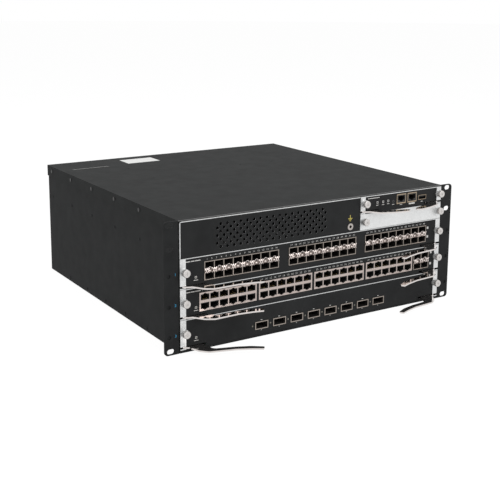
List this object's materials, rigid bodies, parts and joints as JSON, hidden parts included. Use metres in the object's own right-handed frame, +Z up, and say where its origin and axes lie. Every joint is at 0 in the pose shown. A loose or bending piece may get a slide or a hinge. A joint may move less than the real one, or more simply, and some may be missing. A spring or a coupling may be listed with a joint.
{
  "type": "modular chassis switch",
  "caption": "Rack-mount network chassis with sliding line cards, a management card, ejector levers, thumbscrews, a fan tray and power supplies.",
  "frame": {"origin": "middle of the chassis floor, half way between the ears' front face and the back", "axes": "+X to the right seen from the front, +Y to the back, +Z up; the cards face -Y"},
  "size_m": [0.4826, 0.5344, 0.175],
  "materials": {
    "black_paint": "fine matt powder coat",
    "zinc_sheet": "bright zinc plate",
    "black_screw": "black zinc",
    "card_front": "matt black with bare zinc ends",
    "tray_sheet": "bright zinc plate",
    "circuit_board": "solder resist",
    "port_cage": "stamped nickel silver",
    "jack_shield": "stamped nickel silver",
    "polished_steel": "polished",
    "nickel_screw": "satin nickel, knurled",
    "fan_plastic": "moulded",
    "latch_plastic": "moulded"
  },
  "bodies": {
    "chassis": {"chassis_shell": "black_paint", "top_cover": "black_paint", "left_rack_ear": "black_paint", "right_rack_ear": "black_paint", "case_screws": "black_screw", "shelf": "zinc_sheet", "bay_divider": "zinc_sheet", "card_guides": "zinc_sheet", "backplane": "circuit_board", "power_board": "circuit_board", "rear_panel": "black_paint", "intake_panel": "black_paint", "earth_jack": "nickel_screw"},
    "line_card_1": {"line_card_1_faceplate": "card_front", "line_card_1_tray": "tray_sheet", "line_card_1_board": "circuit_board", "line_card_1_module_cages": "port_cage"},
    "line_card_1_left_lever": {"line_card_1_left_lever": "polished_steel"},
    "line_card_1_right_lever": {"line_card_1_right_lever": "polished_steel"},
    "line_card_1_left_thumbscrew": {"line_card_1_left_thumbscrew": "nickel_screw"},
    "line_card_1_right_thumbscrew": {"line_card_1_right_thumbscrew": "nickel_screw"},
    "line_card_2": {"line_card_2_faceplate": "card_front", "line_card_2_tray": "tray_sheet", "line_card_2_board": "circuit_board", "line_card_2_data_jacks": "jack_shield", "line_card_2_uplink_cage": "port_cage"},
    "line_card_2_left_lever": {"line_card_2_left_lever": "polished_steel"},
    "line_card_2_right_lever": {"line_card_2_right_lever": "polished_steel"},
    "line_card_2_left_thumbscrew": {"line_card_2_left_thumbscrew": "nickel_screw"},
    "line_card_2_right_thumbscrew": {"line_card_2_right_thumbscrew": "nickel_screw"},
    "line_card_3": {"line_card_3_faceplate": "card_front", "line_card_3_tray": "tray_sheet", "line_card_3_board": "circuit_board", "line_card_3_uplink_cages": "port_cage"},
    "line_card_3_left_lever": {"line_card_3_left_lever": "polished_steel"},
    "line_card_3_right_lever": {"line_card_3_right_lever": "polished_steel"},
    "line_card_3_left_thumbscrew": {"line_card_3_left_thumbscrew": "nickel_screw"},
    "line_card_3_right_thumbscrew": {"line_card_3_right_thumbscrew": "nickel_screw"},
    "management_card": {"management_card_faceplate": "card_front", "management_card_tray": "tray_sheet", "management_card_board": "circuit_board", "management_card_sockets": "jack_shield"},
    "management_card_left_lever": {"management_card_left_lever": "polished_steel"},
    "management_card_right_lever": {"management_card_right_lever": "polished_steel"},
    "management_card_left_thumbscrew": {"management_card_left_thumbscrew": "nickel_screw"},
    "management_card_right_thumbscrew": {"management_card_right_thumbscrew": "nickel_screw"},
    "filler": {"filler_panel": "zinc_sheet"},
    "filler_left_thumbscrew": {"filler_left_thumbscrew": "nickel_screw"},
    "filler_right_thumbscrew": {"filler_right_thumbscrew": "nickel_screw"},
    "fan_tray": {"fan_tray_frame": "black_paint", "fan_housings": "fan_plastic"},
    "fan_tray_left_thumbscrew": {"fan_tray_left_thumbscrew": "nickel_screw"},
    "fan_tray_right_thumbscrew": {"fan_tray_right_thumbscrew": "nickel_screw"},
    "fan_rotor_1": {"fan_rotor_1": "fan_plastic"},
    "fan_rotor_2": {"fan_rotor_2": "fan_plastic"},
    "fan_rotor_3": {"fan_rotor_3": "fan_plastic"},
    "power_supply_1": {"power_supply_1_case": "zinc_sheet"},
    "power_supply_1_latch": {"power_supply_1_latch": "latch_plastic"},
    "power_supply_2": {"power_supply_2_case": "zinc_sheet"},
    "power_supply_2_latch": {"power_supply_2_latch": "latch_plastic"}
  },
  "joints": [
    {"name": "line_card_1_slide", "type": "slide", "parent": "chassis", "child": "line_card_1", "axis": [0, -1, 0], "range_m": [0, 0.27]},
    {"name": "line_card_1_left_lever_swing", "type": "hinge", "parent": "line_card_1", "child": "line_card_1_left_lever", "pos_m": [-0.203, -0.216, 0], "axis": [0, 0, -1], "range_deg": [0, 50]},
    {"name": "line_card_1_right_lever_swing", "type": "hinge", "parent": "line_card_1", "child": "line_card_1_right_lever", "pos_m": [0.203, -0.216, 0], "axis": [0, 0, 1], "range_deg": [0, 50]},
    {"name": "line_card_1_left_thumbscrew_turn", "type": "hinge", "parent": "line_card_1", "child": "line_card_1_left_thumbscrew", "pos_m": [-0.2135, -0.225, 0.1074], "axis": [0, 1, 0], "continuous": true},
    {"name": "line_card_1_right_thumbscrew_turn", "type": "hinge", "parent": "line_card_1", "child": "line_card_1_right_thumbscrew", "pos_m": [0.2135, -0.225, 0.1074], "axis": [0, 1, 0], "continuous": true},
    {"name": "line_card_2_slide", "type": "slide", "parent": "chassis", "child": "line_card_2", "axis": [0, -1, 0], "range_m": [0, 0.27]},
    {"name": "line_card_2_left_lever_swing", "type": "hinge", "parent": "line_card_2", "child": "line_card_2_left_lever", "pos_m": [-0.203, -0.216, 0], "axis": [0, 0, -1], "range_deg": [0, 50]},
    {"name": "line_card_2_right_lever_swing", "type": "hinge", "parent": "line_card_2", "child": "line_card_2_right_lever", "pos_m": [0.203, -0.216, 0], "axis": [0, 0, 1], "range_deg": [0, 50]},
    {"name": "line_card_2_left_thumbscrew_turn", "type": "hinge", "parent": "line_card_2", "child": "line_card_2_left_thumbscrew", "pos_m": [-0.2135, -0.225, 0.067], "axis": [0, 1, 0], "continuous": true},
    {"name": "line_card_2_right_thumbscrew_turn", "type": "hinge", "parent": "line_card_2", "child": "line_card_2_right_thumbscrew", "pos_m": [0.2135, -0.225, 0.067], "axis": [0, 1, 0], "continuous": true},
    {"name": "line_card_3_slide", "type": "slide", "parent": "chassis", "child": "line_card_3", "axis": [0, -1, 0], "range_m": [0, 0.27]},
    {"name": "line_card_3_left_lever_swing", "type": "hinge", "parent": "line_card_3", "child": "line_card_3_left_lever", "pos_m": [-0.203, -0.216, 0], "axis": [0, 0, -1], "range_deg": [0, 40]},
    {"name": "line_card_3_right_lever_swing", "type": "hinge", "parent": "line_card_3", "child": "line_card_3_right_lever", "pos_m": [0.203, -0.216, 0], "axis": [0, 0, 1], "range_deg": [0, 50]},
    {"name": "line_card_3_left_thumbscrew_turn", "type": "hinge", "parent": "line_card_3", "child": "line_card_3_left_thumbscrew", "pos_m": [-0.2135, -0.225, 0.0266], "axis": [0, 1, 0], "continuous": true},
    {"name": "line_card_3_right_thumbscrew_turn", "type": "hinge", "parent": "line_card_3", "child": "line_card_3_right_thumbscrew", "pos_m": [0.2135, -0.225, 0.0266], "axis": [0, 1, 0], "continuous": true},
    {"name": "management_card_slide", "type": "slide", "parent": "chassis", "child": "management_card", "axis": [0, -1, 0], "range_m": [0, 0.27]},
    {"name": "management_card_left_lever_swing", "type": "hinge", "parent": "management_card", "child": "management_card_left_lever", "pos_m": [0.08456, -0.216, 0], "axis": [0, 0, -1], "range_deg": [0, 45]},
    {"name": "management_card_right_lever_swing", "type": "hinge", "parent": "management_card", "child": "management_card_right_lever", "pos_m": [0.203, -0.216, 0], "axis": [0, 0, 1], "range_deg": [0, 45]},
    {"name": "management_card_left_thumbscrew_turn", "type": "hinge", "parent": "management_card", "child": "management_card_left_thumbscrew", "pos_m": [0.07406, -0.225, 0.1635], "axis": [0, 1, 0], "continuous": true},
    {"name": "management_card_right_thumbscrew_turn", "type": "hinge", "parent": "management_card", "child": "management_card_right_thumbscrew", "pos_m": [0.2135, -0.225, 0.1635], "axis": [0, 1, 0], "continuous": true},
    {"name": "filler_slide", "type": "slide", "parent": "chassis", "child": "filler", "axis": [0, -1, 0], "range_m": [0, 0.04]},
    {"name": "filler_left_thumbscrew_turn", "type": "hinge", "parent": "filler", "child": "filler_left_thumbscrew", "pos_m": [0.07406, -0.225, 0.1376], "axis": [0, 1, 0], "continuous": true},
    {"name": "filler_right_thumbscrew_turn", "type": "hinge", "parent": "filler", "child": "filler_right_thumbscrew", "pos_m": [0.2135, -0.225, 0.1376], "axis": [0, 1, 0], "continuous": true},
    {"name": "fan_tray_slide", "type": "slide", "parent": "chassis", "child": "fan_tray", "axis": [0, 1, 0], "range_m": [0, 0.09]},
    {"name": "fan_tray_left_thumbscrew_turn", "type": "hinge", "parent": "fan_tray", "child": "fan_tray_left_thumbscrew", "pos_m": [-0.209, 0.225, 0.0632], "axis": [0, 1, 0], "continuous": true},
    {"name": "fan_tray_right_thumbscrew_turn", "type": "hinge", "parent": "fan_tray", "child": "fan_tray_right_thumbscrew", "pos_m": [0.209, 0.225, 0.0632], "axis": [0, 1, 0], "continuous": true},
    {"name": "fan_rotor_1_spin", "type": "hinge", "parent": "fan_tray", "child": "fan_rotor_1", "pos_m": [-0.13002, 0.206, 0.0632], "axis": [0, 1, 0], "continuous": true},
    {"name": "fan_rotor_2_spin", "type": "hinge", "parent": "fan_tray", "child": "fan_rotor_2", "pos_m": [0, 0.206, 0.0632], "axis": [0, 1, 0], "continuous": true},
    {"name": "fan_rotor_3_spin", "type": "hinge", "parent": "fan_tray", "child": "fan_rotor_3", "pos_m": [0.13002, 0.206, 0.0632], "axis": [0, 1, 0], "continuous": true},
    {"name": "power_supply_1_slide", "type": "slide", "parent": "chassis", "child": "power_supply_1", "axis": [0, 1, 0], "range_m": [0, 0.26]},
    {"name": "power_supply_1_latch_press", "type": "hinge", "parent": "power_supply_1", "child": "power_supply_1_latch", "pos_m": [-0.08569, 0.2315, 0.1477], "axis": [0, 0, 1], "range_deg": [0, 12]},
    {"name": "power_supply_2_slide", "type": "slide", "parent": "chassis", "child": "power_supply_2", "axis": [0, 1, 0], "range_m": [0, 0.26]},
    {"name": "power_supply_2_latch_press", "type": "hinge", "parent": "power_supply_2", "child": "power_supply_2_latch", "pos_m": [0.05482, 0.2315, 0.1477], "axis": [0, 0, 1], "range_deg": [0, 12]}
  ]
}
